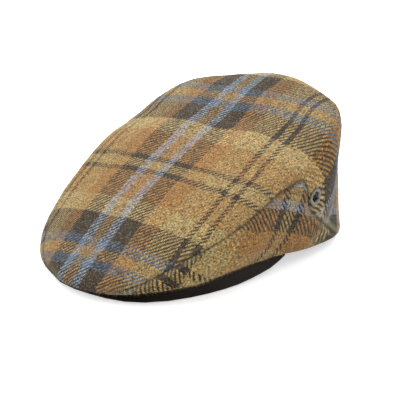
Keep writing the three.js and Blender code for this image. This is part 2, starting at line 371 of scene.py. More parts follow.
# %% Seam line
SEAM = [
    (3, 0), (7, 0.8), (11, 1.2), (16, 1.5), (21, 1.75), (27, 1.93), (34, 2),
    (74.2, 2), (75.6, 1.87), (76.6, 1.68), (77.1, 1.4), (77.8, 1.2), (79.4, 1.04),
    (83, 0.86), (87, 0.69), (94.5, 0.47), (104, 0.26), (117, 0),
]
SEAM_START, SEAM_END = SEAM[0][0], SEAM[-1][0]
RIGHT_SEAM_DIP = 0.38
DIP_GROWS, DIP_FADES = (3, 20), (27, 45)


def ease(value, first, last):
    """0 before first, 1 after last, and smooth between them."""
    share = min(max((value - first) / (last - first), 0), 1)
    return share * share * (3 - 2 * share)


def seam_level(turn):
    """The level of the seam in a direction, or 0 where the top comes down to the hem."""
    side = abs(turn)
    dip = 0
    if turn < 0:
        dip = RIGHT_SEAM_DIP * ease(side, *DIP_GROWS) * (1 - ease(side, *DIP_FADES))
    for (turn_a, level_a), (turn_b, level_b) in zip(SEAM, SEAM[1:]):
        if turn_a <= side < turn_b:
            return level_a + (level_b - level_a) * (side - turn_a) / (turn_b - turn_a) - dip
    return 0


print("seam marks:", len(SEAM), "from turn", SEAM_START, "to", SEAM_END)

# %% [markdown]
# ## Columns of a panel
# A panel's skin is a grid of points, with a column up each section. Even distances keep the
# faces much the same size. Three extra rows lie close to the lower border, where the edge is
# rolled under, and the columns are closest at the corner of the side panels and the eyelets.
# A remesh would give even faces too, but only a grid also gives the cloth its flat map.

# %% Points up a section
BORDER_ROWS = ((0.8, 0.02), (1.8, 0.05), (3.2, 0.09))
SECTION_SAMPLES = 120


def spread(first, last, steps):
    return [first + (last - first) * i / steps for i in range(steps + 1)]


def column_points(turn, first_level, last_level, rows):
    """Points up a section, each with its distance from the first, and the whole distance.

    A border row keeps its distance in millimetres, or its share of a very short column.
    """
    dense = [crown_point(turn, level) for level in spread(first_level, last_level, SECTION_SAMPLES)]
    lengths = [0.0]
    for before, after in zip(dense, dense[1:]):
        lengths.append(lengths[-1] + (after - before).length)
    total = lengths[-1]
    near = [min(distance, total * share) for distance, share in BORDER_ROWS]
    rest = total - near[-1]
    wanted = [0.0, *near, *[near[-1] + rest * step / rows for step in range(1, rows + 1)]]
    points, index = [], 0
    for distance in wanted:
        while index < len(lengths) - 2 and lengths[index + 1] < distance:
            index += 1
        run = max(lengths[index + 1] - lengths[index], 1e-9)
        part = min(max((distance - lengths[index]) / run, 0), 1)
        points.append((dense[index].lerp(dense[index + 1], part), distance))
    return points, total


HALF_TURNS = (
    spread(0, 34, 24) + spread(35.5, 72, 19) + spread(73, 80, 20)
    + spread(80.5, 97, 22) + spread(98.5, 117, 10) + spread(119.5, 180, 25)
)
print("directions on one side:", len(HALF_TURNS))

# %% [markdown]
# ## Where the eyelets sit
# Each vent eyelet sits just behind the corner of a side panel. It faces straight out of the
# crown, then leans a little towards the back, because the cloth dips in front of it. The
# cross product of a step round the crown and a step up it gives the way straight out.

# %% Eyelet seats
EYELET_TURN, EYELET_LEVEL = 81.0, 1.37
EYELET_TILT = math.radians(9)


def crown_normal(turn, level):
    """The direction straight out of the crown."""
    up = crown_point(turn, level + 0.01) - crown_point(turn, level - 0.01)
    around = crown_point(turn + 0.2, level) - crown_point(turn - 0.2, level)
    return around.cross(up).normalized()


def eyelet_seat(sign):
    """The middle of an eyelet, in millimetres. The sign is 1 for the left and -1 for the right."""
    return crown_point(sign * EYELET_TURN, EYELET_LEVEL)


def eyelet_axis(sign):
    lean = Quaternion((0, 0, 1), sign * EYELET_TILT)
    return lean @ crown_normal(sign * EYELET_TURN, EYELET_LEVEL)


eyelet_seats = [(eyelet_seat(sign) * MM, eyelet_axis(sign)) for sign in (1, -1)]
print("left eyelet at", [round(v, 4) for v in eyelet_seats[0][0]])

# %% [markdown]
# ## Rolling and softening a skin
# On the real cap the edge of each panel is turned in and sewn. So the cloth rolls inwards
# over its last two millimetres, and beside a seam the turned-in edge lifts it again a little
# further on. Round the vent eyelets the cloth is pulled flat, and two stitches tack the hem
# down to the peak. Everywhere else it has the gentle unevenness of pressed wool.
# All but the last are bell curves of a distance: to the border, to an eyelet or to a stitch.
# A search tree, built from marks along the border, finds the distance to it fast.

# %% Measures of the soft edges, in millimetres
ROLL_DEPTH, ROLL_WIDTH = 1.0, 1.4
LIFT_HEIGHT, LIFT_AT, LIFT_WIDTH = 0.4, 4.0, 2.0
GROOVE_WIDTH = 0.9
# Where the wool beside the seams is paler: partly rubbed wool, partly a painted highlight.
PALE_STRIP_AT, PALE_STRIP_WIDTH = 2.6, 1.4
PALE_STRIP_BASE, PALE_STRIP_REAR = 0.15, 0.4
PALER_FROM, PALER_END, PALER_FADE = (26, 33), 100, 20
WAVES = ((38, 0.8), (15, 0.3))
CALM_WIDTH = 14
EYELET_CALM, EYELET_FADE = 6, 12
FLAT_RADIUS, FLAT_WIDTH, FLAT_SINK = 5, 4.5, 0.45
TACK_TURN, TACK_LEVEL, TACK_WIDTH = 28.5, 0.12, 7
TACK_BULGE, TACK_PULL = 1.4, 2.4
NOISE_SHIFT = 37.0

hem_tacks = [crown_point(side * TACK_TURN, TACK_LEVEL) * MM for side in (1, -1)]


def bell(distance, width):
    """1 at no distance, falling smoothly to almost nothing at twice the width."""
    return math.exp(-((distance / width) ** 2))


def point_tree(points):
    """A search tree that finds the nearest of many points fast."""
    tree = kdtree.KDTree(len(points))
    for index, point in enumerate(points):
        tree.insert(point, index)
    tree.balance()
    return tree


print("left hem tack at", [round(v, 4) for v in hem_tacks[0]])

# %% [markdown]
# A cloth simulation could not put these in such exact places, so every point is moved in
# code, mostly along its normal. Two attributes are stored on the way, for the material: how
# deep a point lies in a seam, for the painted shade there, and how much paler the wool beside
# the seam is, partly rubbed and partly a painted highlight. All moves are found first and
# made afterwards, because a point that has moved would change its neighbours' normals.

# %% Rolling and softening
def soften(mesh, seam, hem, seed, by_eyelets):
    """Moves a skin's points. The marks along its seam and hem are in metres."""
    seam_tree, hem_tree = point_tree(seam), point_tree(hem)
    groove = mesh.attributes.new("groove", "FLOAT", "POINT")
    worn_and_highlit = mesh.attributes.new("worn_and_highlit", "FLOAT", "POINT")
    moved = []
    for vertex in mesh.vertices:
        normal = vertex.normal
        to_seam = seam_tree.find(vertex.co)[2] / MM
        to_border = min(to_seam, hem_tree.find(vertex.co)[2] / MM)
        lift = LIFT_HEIGHT * bell(to_seam - LIFT_AT, LIFT_WIDTH)
        backwards = vertex.co.y / MM
        behind = ease(backwards, *PALER_FROM) * ease(PALER_END - backwards, 0, PALER_FADE)
        # Closeness to the seam, which the material turns into painted shade.
        groove.data[vertex.index].value = bell(to_seam, GROOVE_WIDTH)
        # Paler wool beside the seam, partly rubbed and partly a painted highlight, stronger at the
        # back.
        rubbed_and_highlit = PALE_STRIP_BASE + PALE_STRIP_REAR * behind * by_eyelets
        worn_and_highlit.data[vertex.index].value = rubbed_and_highlit * bell(to_seam - PALE_STRIP_AT, PALE_STRIP_WIDTH)
        spot = vertex.co / MM + Vector((seed * NOISE_SHIFT, 0, 0))
        slow = sum(noise.noise(spot / length) * height for length, height in WAVES)
        calm = min(to_border / CALM_WIDTH, 1)
        step = Vector()
        for seat, axis in eyelet_seats:
            away = (vertex.co - seat) / MM
            calm = min(calm, max(away.length - EYELET_CALM, 0) / EYELET_FADE)
            lift *= min(away.length / EYELET_FADE, 1)
            if by_eyelets:
                sink = away.dot(axis) + FLAT_SINK
                step -= axis * sink * bell(max(away.length - FLAT_RADIUS, 0), FLAT_WIDTH)
        step += normal * (slow * calm + lift - ROLL_DEPTH * bell(to_border, ROLL_WIDTH))
        for tack in hem_tacks:
            close = bell((vertex.co - tack).length / MM, TACK_WIDTH)
            step += (normal * TACK_BULGE - Vector((0, 0, TACK_PULL))) * close
        moved.append(step * MM)
    for vertex, step in zip(mesh.vertices, moved):
        vertex.co += step
        vertex.co.z = max(vertex.co.z, 0)


print("edges roll in by", ROLL_DEPTH, "mm")

# %% [markdown]
# ## Making the grid
# The grid becomes a mesh with from_pydata, four corners to a face. The top panel closes round
# the cap and ends in a fan of triangles at its middle, and the side panels are open strips.
# The check has to run over the cap as woven cloth does, so every point also has a place on a
# flat map, where it would lie if the panel were spread on the cutting table. The map is kept
# in millimetres, as the UV map named cloth, so the weave can be set in millimetres too.

# %% Grid mesh
def border_marks(row, following):
    """Four marks on the way from each point to the one that follows it, in metres."""
    return [a.lerp(b, step / 4) * MM for a, b in zip(row, following) for step in range(4)]


def skin_mesh(name, columns, maps, middle=None):
    """A grid mesh from columns of points. Given a middle, a point with its map, it closes."""
    rows = len(columns[0])
    points = [point * MM for column in columns for point in column]
    flat = [spot for column in maps for spot in column]
    faces = []
    for i in range(len(columns) if middle else len(columns) - 1):
        here, after = i * rows, (i + 1) % len(columns) * rows
        for j in range(rows - 1):
            if middle and j == rows - 2:
                faces.append((here + j, after + j, len(points)))
            else:
                faces.append((here + j, after + j, after + j + 1, here + j + 1))
    if middle:
        points.append(middle[0] * MM)
        flat.append(middle[1])
    mesh = bpy.data.meshes.new(name)
    mesh.from_pydata(points, [], faces)
    layer = mesh.uv_layers.new(name="cloth")
    for loop in mesh.loops:
        layer.data[loop.index].uv = flat[loop.vertex_index]
    for polygon in mesh.polygons:
        polygon.use_smooth = True
    mesh.update()
    return mesh


def remove_loose(mesh):
    """Takes out the points that the fan leaves without a face, and faces of no size."""
    work = bmesh.new()
    work.from_mesh(mesh)
    bmesh.ops.delete(work, geom=[v for v in work.verts if not v.link_faces], context="VERTS")
    bmesh.ops.dissolve_degenerate(work, dist=1e-6, edges=work.edges)
    work.to_mesh(mesh)
    work.free()


print("helpers: border_marks, skin_mesh and remove_loose")

# %% [markdown]
# ## The top panel
# A place on the top's flat map is the distance over the cloth from the middle of the crown,
# in the direction of its column. A crown cannot be laid quite flat, so a tailor eases the
# cloth, and so does the map. The pair of blue stripes lies to the right of the middle line
# and bows a little. From there to the left, half a repeat takes up less of the crown towards
# the back. Where the cloth turns down, the stripes lie further apart on the left and closer
# together on the right. The stripes that run across also slant and shift a little on the left.

# %% The top panel's cutting map, in millimetres
WARP_HALF = 77.0
BLUE_MIDDLE, BLUE_BOW = -17, 3
BOW_AT, BOW_HALF = -60, 90
FRONT_LIMIT, BACK_LIMIT = -150, 30
FRONT_REPEAT, REPEAT_LOSS = 80.5, 12
LOSS_FROM, LOSS_RUN = -110, 130
LEFT_TURN_DOWN, LEFT_SHARE = 85, 0.85
LOW_SHIFT, SHIFT_LOSS, SHIFT_KEPT_TO = 8, 0.45, 38
SHIFT_BELOW, SHIFT_BEHIND = (10, 45), (0, 20)
RIGHT_TURN_DOWN, RIGHT_SHRINK = 45, 0.55
LEFT_SLANT, SLANT_ACROSS, SLANT_BEHIND = 5, (10, 60), (-30, 20)


def cut_place(turn, reach):
    """Where a point of the top lies on the flat cloth: across from the blue stripes, and along."""
    angle = math.radians(turn)
    across, along = reach * math.sin(angle), -reach * math.cos(angle)
    near = min(max(along, FRONT_LIMIT), BACK_LIMIT)
    middle = BLUE_MIDDLE + BLUE_BOW * ((near - BOW_AT) / BOW_HALF) ** 2
    repeat = FRONT_REPEAT - REPEAT_LOSS * (max(near - LOSS_FROM, 0) / LOSS_RUN) ** 2
    if across > middle:
        low_down = max(across - LEFT_TURN_DOWN, 0)
        across = (across - low_down - middle) * WARP_HALF / repeat + LEFT_SHARE * low_down
        shift = LOW_SHIFT - SHIFT_LOSS * max(along - SHIFT_KEPT_TO, 0)
        along += shift * ease(low_down, *SHIFT_BELOW) * ease(along, *SHIFT_BEHIND)
    else:
        across = across - middle - RIGHT_SHRINK * max(-RIGHT_TURN_DOWN - across, 0)
    slant = LEFT_SLANT * ease(across, *SLANT_ACROSS) * ease(along, *SLANT_BEHIND)
    return across, along - slant


print("the middle of the crown on the map:", [round(v, 1) for v in cut_place(0, 0)])

# %% [markdown]
# The top panel starts on the seam or, behind the side panels and at the front, on the hem.
# Every column runs up from there to the middle of the crown.

# %% Top panel
TOP_ROWS = 44


def top_panel_skin():
    turns = HALF_TURNS + [-turn for turn in reversed(HALF_TURNS[1:-1])]
    columns, maps, seam, hem = [], [], [], []
    for turn in turns:
        points, total = column_points(turn, seam_level(turn), 4, TOP_ROWS)
        columns.append([point for point, _ in points])
        maps.append([cut_place(turn, total - distance) for _, distance in points])
    for turn, column, after in zip(turns, columns, columns[1:] + columns[:1]):
        border = seam if SEAM_START <= abs(turn) <= SEAM_END else hem
        border.extend(border_marks(column[:1], after[:1]))
    mesh = skin_mesh("top_cloth", columns, maps, (crown_point(0, 4), cut_place(0, 0)))
    remove_loose(mesh)
    soften(mesh, seam, hem, 1, True)
    return mesh


top_skin = top_panel_skin()
print("top panel faces:", len(top_skin.polygons))

# %% [markdown]
# ## The side panels
# Each side panel is a long triangle between the hem and the seam. The left one was cut with
# the check turned about 19 degrees. Its flat map is simply the distance along the hem and the
# height above it, turned by that angle, because a side panel is almost flat.

# %% The left side panel's cutting map, in millimetres
SIDE_LEAN = math.radians(19)
END_LEAN, END_RANGE = math.radians(18.4), (30, 90)
WEFT_MARK = (158, 35)
WARP_MARK = (160, 53)
REAR_RUN, REAR_SQUEEZE = 196, 0.6


def left_cut_place(run, height):
    """Run is the distance along the hem from the front, and height the distance above it."""
    run -= REAR_SQUEEZE * max(run - REAR_RUN, 0)
    forward, above = WEFT_MARK[0] - run, height - WEFT_MARK[1]
    weft = forward * math.cos(SIDE_LEAN) + above * math.sin(SIDE_LEAN)
    ahead, beneath = WARP_MARK[0] - run, height - WARP_MARK[1]
    warp = ahead * math.sin(SIDE_LEAN) - beneath * math.cos(SIDE_LEAN)
    turned = END_LEAN * ease(math.hypot(weft, warp), *END_RANGE)
    return (
        -warp * math.cos(turned) - weft * math.sin(turned),
        weft * math.cos(turned) - warp * math.sin(turned),
    )


print("the weft mark on the map:", [round(v, 1) for v in left_cut_place(*WEFT_MARK)])

# %% [markdown]
# Both side panels run from the hem up to the seam. The right one is softened in the same way
# as the top, with the same noise, because its check runs on from the top's.

# %% Side panels
SIDE_ROWS = 16
SIDE_TURNS = [SEAM_START + 0.3, *[turn for turn in HALF_TURNS if 4 <= turn <= 116], SEAM_END - 0.5]
HEM_STEPS = 2


def hem_distances():
    """The distance along the hem from the front, in steps of half a degree."""
    hem = [crown_point(turn, 0) for turn in spread(0, SEAM_END, SEAM_END * HEM_STEPS)]
    runs = [0.0]
    for before, after in zip(hem, hem[1:]):
        runs.append(runs[-1] + (after - before).length)
    return runs


def side_panel_skin(sign):
    turns = SIDE_TURNS if sign > 0 else [-turn for turn in reversed(SIDE_TURNS)]
    runs = hem_distances()
    columns, maps = [], []
    for turn in turns:
        points, total = column_points(turn, 0, seam_level(turn), SIDE_ROWS)
        columns.append([point for point, _ in points])
        if sign > 0:
            run = runs[round(turn * HEM_STEPS)]
            maps.append([left_cut_place(run, distance) for _, distance in points])
        else:
            beyond = column_points(turn, seam_level(turn), 4, 4)[1]
            maps.append([cut_place(turn, beyond + total - distance) for _, distance in points])
    hem, seam = [column[0] for column in columns], [column[-1] for column in columns]
    mesh = skin_mesh("side_cloth_left" if sign > 0 else "side_cloth_right", columns, maps)
    soften(mesh, border_marks(seam, seam[1:]), border_marks(hem, hem[1:]), 2 + sign, sign < 0)
    return mesh


side_skins = {sign: side_panel_skin(sign) for sign in (1, -1)}
print("side panel faces:", len(side_skins[1].polygons))

# %% [markdown]
# ## The check
# A check is two lists of coloured stripes, called setts: one for the warp, which runs along
# the cloth, and one for the weft, which runs across it. Each list is mirrored about its
# middle stripe, so the distance from that middle is all that is needed, and the Ping-Pong
# operation folds the map onto it. A colour ramp then holds the stripes. It is set to
# Constant, because one thread stops where the next begins.

# %% Stripes of the warp and the weft
GOLD = srgb(128, 102, 62)
PALE_BLUE = srgb(110, 124, 137)
BLUE = srgb(53, 77, 96)
DARK_BROWN = srgb(34, 26, 10)
RUST = srgb(136, 98, 47)
TAN = srgb(143, 121, 73)
KHAKI = srgb(150, 130, 82)
DARK_LINE = srgb(31, 23, 14)

WARP_STRIPES = [
    (0, GOLD), (4.7, PALE_BLUE), (12.4, DARK_BROWN), (29, RUST),
    (46, TAN), (69, DARK_LINE), (73.6, TAN),
]
WEFT_HALF = 92.4
WEFT_STRIPES = [
    (0, GOLD), (4.6, BLUE), (13.4, DARK_BROWN), (36, KHAKI),
    (54, RUST), (82.2, DARK_LINE), (87.2, TAN),
]


def stripe_ramp(tree, distance, half, stripes):
    """The colour of the thread at a distance from the middle stripe."""
    ramp = tree.nodes.new("ShaderNodeValToRGB")
    plug(tree, ramp, Fac=calc(tree, "DIVIDE", distance, half))
    ramp.color_ramp.interpolation = "CONSTANT"
    stops = ramp.color_ramp.elements
    stops[0].position, stops[0].color = 0.0, stripes[0][1]
    stops.remove(stops[1])
    for start, colour in stripes[1:]:
        stops.new(start / half).color = colour
    return ramp.outputs[0]


print("the check repeats every", 2 * WARP_HALF, "mm across and", 2 * WEFT_HALF, "mm along")

# %% [markdown]
# The check group puts the two setts together. At each place it shows the warp's colour where
# the warp lies on top, and the weft's colour elsewhere. Each map starts on the gold stripe of
# the warp, between its two blue ones, so only the weft's middle is an input.

# %% Node group: woven check
check, check_in, check_out = start_group(
    "woven check",
    [("Cloth", "Vector", None), ("Weft Middle", "Float", 0.0), ("Warp On Top", "Float", 0.5)],
    [("Color", "Color")],
)
check_across, check_along, _ = add_node(check, "ShaderNodeSeparateXYZ", Vector=check_in["Cloth"])
from_weft_middle = calc(check, "SUBTRACT", check_along, check_in["Weft Middle"])
warp_far = calc(check, "PINGPONG", check_across, WARP_HALF)
weft_far = calc(check, "PINGPONG", from_weft_middle, WEFT_HALF)
warp_colour = stripe_ramp(check, warp_far, WARP_HALF, WARP_STRIPES)
weft_colour = stripe_ramp(check, weft_far, WEFT_HALF, WEFT_STRIPES)
plug(check, check_out, Color=blend_colour(check, check_in["Warp On Top"], weft_colour, warp_colour))
print("group:", check.name)

# %% [markdown]
# ## The weave
# The weave is a two-by-two twill: every weft thread goes over two warp threads and under
# two, one step further along in each row. That makes the slanting ribs that show wherever a
# dark stripe crosses a light one. Floor counts the threads, and where the count stands in its
# group of four says which thread is on top. A round profile across each thread gives the
# height. Weaving real threads as geometry would take millions of faces for the same look.

# %% Node group: twill weave
weave, weave_in, weave_out = start_group(
    "twill weave",
    [("Cloth", "Vector", None), ("Thread", "Float", 1.2)],
    [("Warp On Top", "Float"), ("Height", "Float")],
)
weave_across, weave_along, _ = add_node(weave, "ShaderNodeSeparateXYZ", Vector=weave_in["Cloth"])
warp_place = calc(weave, "DIVIDE", weave_across, weave_in["Thread"])
weft_place = calc(weave, "DIVIDE", weave_along, weave_in["Thread"])
warp_count, weft_count = calc(weave, "FLOOR", warp_place), calc(weave, "FLOOR", weft_place)
stagger = calc(weave, "SUBTRACT", warp_count, weft_count)
in_four = calc(weave, "FRACT", calc(weave, "DIVIDE", calc(weave, "ADD", stagger, 0.5), 4.0))
warp_on_top = calc(weave, "LESS_THAN", in_four, 0.5)
weft_on_top = calc(weave, "SUBTRACT", 1.0, warp_on_top)


def thread_profile(thread_place):
    """1 along the middle of a thread and 0 at its sides."""
    across = calc(weave, "MULTIPLY_ADD", calc(weave, "FRACT", thread_place), 2.0, -1.0)
    return calc(weave, "SUBTRACT", 1.0, calc(weave, "MULTIPLY", across, across))


warp_high = calc(weave, "MULTIPLY", thread_profile(warp_place), warp_on_top)
weft_high = calc(weave, "MULTIPLY", thread_profile(weft_place), weft_on_top)
plug(weave, weave_out, Warp_On_Top=warp_on_top, Height=calc(weave, "ADD", warp_high, weft_high))
print("group:", weave.name)

# %% [markdown]
# ## The wool
# Tweed yarn is spun from wool dyed in several colours, so no thread is one flat colour. The
# heather group breaks a colour up in four ways. First, each stretch of yarn is a little
# lighter or darker, and fine fibres add speckle. The noise for the yarn is stretched along
# the thread that lies on top. One group serves every woollen finish, with its own amounts.

# %% Node group: heather wool, light and dark
SWING = 5.0
DARKEST = 0.15

heather, heather_in, heather_out = start_group(
    "heather wool",
    [
        ("Color", "Color", (0.5, 0.5, 0.5, 1)), ("Cloth", "Vector", None),
        ("Warp On Top", "Float", 0.5), ("Speckle", "Float", 0.5), ("Flecks", "Float", 0.25),
    ],
    [("Color", "Color")],
)


def cloth_noise(tree, cloth, scale, detail):
    """Flat noise over the cloth, as a number and as a colour."""
    settings = {"noise_dimensions": "2D"}
    return add_node(tree, "ShaderNodeTexNoise", settings, Vector=cloth, Scale=scale, Detail=detail)


def yarn_noise(stretch):
    stretched = vector_calc(heather, "MULTIPLY", heather_in["Cloth"], stretch)
    return cloth_noise(heather, stretched, 0.85, 2.0)[0]


along_warp, along_weft = yarn_noise((1.0, 0.16, 1.0)), yarn_noise((0.16, 1.0, 1.0))
top_yarn = add_node(
    heather, "ShaderNodeMix", {"data_type": "FLOAT"},
    i0=heather_in["Warp On Top"], i2=along_weft, i3=along_warp,
)[0]
speckle = cloth_noise(heather, heather_in["Cloth"], 0.9, 3.0)[0]
halves = [calc(heather, "MULTIPLY", part, 0.5) for part in (top_yarn, speckle)]
off_middle = calc(heather, "SUBTRACT", calc(heather, "ADD", *halves), 0.5)
strength = calc(heather, "MULTIPLY", heather_in["Speckle"], SWING)
swing = calc(heather, "MULTIPLY", off_middle, strength)
gain = calc(heather, "MAXIMUM", calc(heather, "ADD", swing, 1.0), DARKEST)
print("darkest speckle:", DARKEST, "of the yarn's own colour")

# %% [markdown]
# Then tufts a few millimetres across are warmer or cooler, and a few flecks of pale and rust
# wool show on top. The flecks are the highest and lowest parts of one noise, so they never
# fall on each other.

# %% Node group: heather wool, tufts and flecks
WARM_TUFT = (1.08, 0.94, 0.84, 1)
COOL_TUFT = (0.93, 1.05, 1.14, 1)
PALE_WOOL = srgb(176, 158, 122)
RUST_WOOL = srgb(126, 78, 40)
FLECK_EDGE = 0.13


def scale_colour(tree, colour, factor):
    scaled = add_node(tree, "ShaderNodeVectorMath", {"operation": "SCALE"}, i0=colour, Scale=factor)
    return scaled[0]


tuft = cloth_noise(heather, heather_in["Cloth"], 0.33, 1.0)[0]
tuft_share = add_node(heather, "ShaderNodeMapRange", Value=tuft, From_Min=0.36, From_Max=0.64)[0]
tuft_tint = blend_colour(heather, tuft_share, WARM_TUFT, COOL_TUFT)
tinted = vector_calc(heather, "MULTIPLY", heather_in["Color"], tuft_tint)
flecked = scale_colour(heather, tinted, gain)
fleck_field = cloth_noise(heather, heather_in["Cloth"], 0.55, 1.0)[0]
pale_spots = calc(heather, "GREATER_THAN", fleck_field, 0.5 + FLECK_EDGE)
rust_spots = calc(heather, "LESS_THAN", fleck_field, 0.5 - FLECK_EDGE)
for spots, wool in ((pale_spots, PALE_WOOL), (rust_spots, RUST_WOOL)):
    amount = calc(heather, "MULTIPLY", spots, heather_in["Flecks"])
    flecked = blend_colour(heather, amount, flecked, wool)
plug(heather, heather_out, Color=flecked)
print("group:", heather.name)

# %% [markdown]
# The nap is the soft fuzz of brushed wool. Close to the cloth it is only a fine irregular
# height, so one more group makes it from two sizes of noise. The longer fibres are grown as
# real blades further down.

# %% Node group: wool nap
nap, nap_in, nap_out = start_group("wool nap", [("Cloth", "Vector", None)], [("Height", "Float")])
nap_fine = cloth_noise(nap, nap_in["Cloth"], 1.6, 4.0)[0]
nap_broad = cloth_noise(nap, nap_in["Cloth"], 0.25, 2.0)[0]
plug(nap, nap_out, Height=calc(nap, "ADD", nap_fine, calc(nap, "MULTIPLY", nap_broad, 0.8)))
print("group:", nap.name)

# %% [markdown]
# ## The tweed
# The same cloth makes the top and the sides, so one function starts every woollen material.
# It bends the map a little, which keeps the threads from looking ruled, and asks the groups
# for the weave and the colour. The left side panel is painted a little darker than the top,
# as painted shade, so that panel has a painted lightness of its own.

# %% Colour of the wool
THREAD = 1.02
WANDER = (3.0, 3.0, 0.0)
TOP_WEFT_MIDDLE = -157.0
# The left side panel's lower lightness is painted shade.
TOP_PAINTED_LIGHTNESS, SIDE_PAINTED_LIGHTNESS = 1.0, 0.9


def stored(tree, name, output="Fac"):
    """Reads what the mesh stores at each point."""
    return add_node(tree, "ShaderNodeAttribute", {"attribute_name": name})[output]


def start_wool(name, weft_middle, speckle):
    """A woollen material. Returns it with its tree, shader, bent map, weave height and colour."""
    material, tree, shader = start_material(name)
    cloth = stored(tree, "cloth", "Vector")
    wander = vector_calc(tree, "SUBTRACT", cloth_noise(tree, cloth, 0.05, 2.0)[1], (0.5, 0.5, 0.5))
    bent = vector_calc(tree, "MULTIPLY_ADD", wander, WANDER, cloth)
    woven = use_group(tree, weave, Cloth=bent, Thread=THREAD)
    on_top = woven["Warp On Top"]
    dyed = use_group(tree, check, Cloth=bent, Weft_Middle=weft_middle, Warp_On_Top=on_top)[0]
    wool = use_group(
        tree, heather, Color=dyed, Cloth=bent, Warp_On_Top=on_top, Speckle=speckle, Flecks=0.2
    )[0]
    plug(tree, shader, Roughness=0.95, Specular_IOR_Level=0.2)
    plug(tree, shader, Sheen_Weight=0.04, Sheen_Roughness=0.6)
    return material, tree, shader, bent, woven["Height"], wool


print("thread:", THREAD, "mm wide")

# %% [markdown]
# The woven cloth is painted darker in the hollows between its threads, as painted shade.
# Beside the seams the tops of the threads are paler, partly as rubbed wool and partly as a
# painted highlight, and in the seams themselves painted shade gathers.
# The threads and the nap give it its relief.

# %% Woven tweed
# The paler wool of rubbed thread tops and of the painted highlight beside the seams.
RUBBED_AND_HIGHLIT_WOOL = srgb(160, 150, 118)
# The colour of the painted shade in the seams.
SEAM_SHADE = srgb(34, 26, 16)
# Painted shade between threads: the lightness added at a thread's crest, and left in its hollow.
CREST_GAIN, HOLLOW_PAINTED_LEVEL = 0.5, 0.56
SEAM_SHADE_SHARE, FUZZ_HEIGHT = 0.6, 0.9
THREAD_SPECKLE, FIBRE_SPECKLE = 1.3, 0.6


def woven_tweed(name, weft_middle, painted_lightness):
    material, tree, shader, bent, height, wool = start_wool(name, weft_middle, THREAD_SPECKLE)
    # Painted shade: darker in the hollows between threads, and darker overall on the left side
    # panel.
    crest = calc(tree, "MINIMUM", height, 1.0)
    painted_shade_factor = calc(
        tree, "MULTIPLY_ADD", crest, CREST_GAIN * painted_lightness, HOLLOW_PAINTED_LEVEL * painted_lightness
    )
    # Paler thread tops beside the seams, partly rubbed wool and partly a painted highlight.
    reached = calc(tree, "MULTIPLY_ADD", height, 0.8, 0.2)
    rubbing_and_highlight = calc(tree, "MULTIPLY", stored(tree, "worn_and_highlit"), reached)
    rubbed_and_highlit = blend_colour(tree, rubbing_and_highlight, scale_colour(tree, wool, painted_shade_factor), RUBBED_AND_HIGHLIT_WOOL)
    # Painted shade in the seams.
    seam_painted_shade = calc(tree, "MULTIPLY", stored(tree, "groove"), SEAM_SHADE_SHARE)
    plug(tree, shader, Base_Color=blend_colour(tree, seam_painted_shade, rubbed_and_highlit, SEAM_SHADE))
    fuzz = calc(tree, "MULTIPLY", use_group(tree, nap, Cloth=bent)[0], FUZZ_HEIGHT)
    add_relief(tree, shader, calc(tree, "ADD", height, fuzz), 0.8, 0.0006)
    return material


top_tweed = woven_tweed("woven_tweed_top", TOP_WEFT_MIDDLE, TOP_PAINTED_LIGHTNESS)
# The left side panel's tweed is a darker copy, and its darkness is painted shade.
side_tweed = woven_tweed("woven_tweed_side", WEFT_HALF, SIDE_PAINTED_LIGHTNESS)
print("materials:", top_tweed.name, side_tweed.name)

# %% [markdown]
# A loose fibre has the colour of the thread it came from, but painted a little paler, as
# painted light for the light that shines through it.

# %% Wool fibres
FIBRE_PAINTED_LIGHT = srgb(196, 184, 156)
FIBRE_PAINTED_LIGHT_SHARE = 0.22


def wool_fibre(name, weft_middle, painted_lightness):
    material, tree, shader, _, _, wool = start_wool(name, weft_middle, FIBRE_SPECKLE)
    # Painted light: the fibre's paler colour stands for light shining through it.
    painted_light_share = FIBRE_PAINTED_LIGHT_SHARE * painted_lightness ** 2
    plug(tree, shader, Base_Color=blend_colour(tree, painted_light_share, wool, FIBRE_PAINTED_LIGHT))
    return material


top_fibre = wool_fibre("wool_fibre_top", TOP_WEFT_MIDDLE, TOP_PAINTED_LIGHTNESS)
side_fibre = wool_fibre("wool_fibre_side", WEFT_HALF, SIDE_PAINTED_LIGHTNESS)
print("materials:", top_fibre.name, side_fibre.name)

# %% [markdown]
# The wrong side of the cloth is backed with a plain brown interlining. It is only seen from
# below, so the same weave and wool groups serve it, finer and without flecks.

# %% Backing material
backing, backing_tree, backing_shader = start_material("brown_backing")
backing_cloth = stored(backing_tree, "cloth", "Vector")
backing_height = use_group(backing_tree, weave, Cloth=backing_cloth, Thread=0.7)["Height"]
# Painted shade: the backing is darker in the hollows between its threads.
backing_colour = blend_colour(backing_tree, backing_height, srgb(58, 44, 34), srgb(84, 66, 50))
backing_wool = use_group(
    backing_tree, heather,
    Color=backing_colour, Cloth=backing_cloth, Warp_On_Top=0.5, Speckle=0.25, Flecks=0.0,
)[0]
plug(backing_tree, backing_shader, Base_Color=backing_wool, Roughness=0.9)
add_relief(backing_tree, backing_shader, backing_height, 0.4, 0.0002)
print("material:", backing.name)

# %% [markdown]
# ## Giving the cloth its thickness
# Solidify pushes a second wall inwards from the skin and closes the border between them. Its
# second wall takes the next material in the list, which is the backing. A Boolean then cuts
# the round holes for the vent eyelets, as a punch does. Holes could be left open in the grid
# instead, but they would not be round. Both modifiers are turned into plain mesh.

# %% The punch for the eyelet holes
HOLE_RADIUS = 4.6 * MM
PUNCH_LENGTH = 14 * MM
PUNCH_SIDES = 40


def seat_turn(sign):
    """The turn that brings a shape's own Z onto the axis of an eyelet."""
    return Vector((0, 0, 1)).rotation_difference(eyelet_axis(sign)).to_matrix().to_4x4()


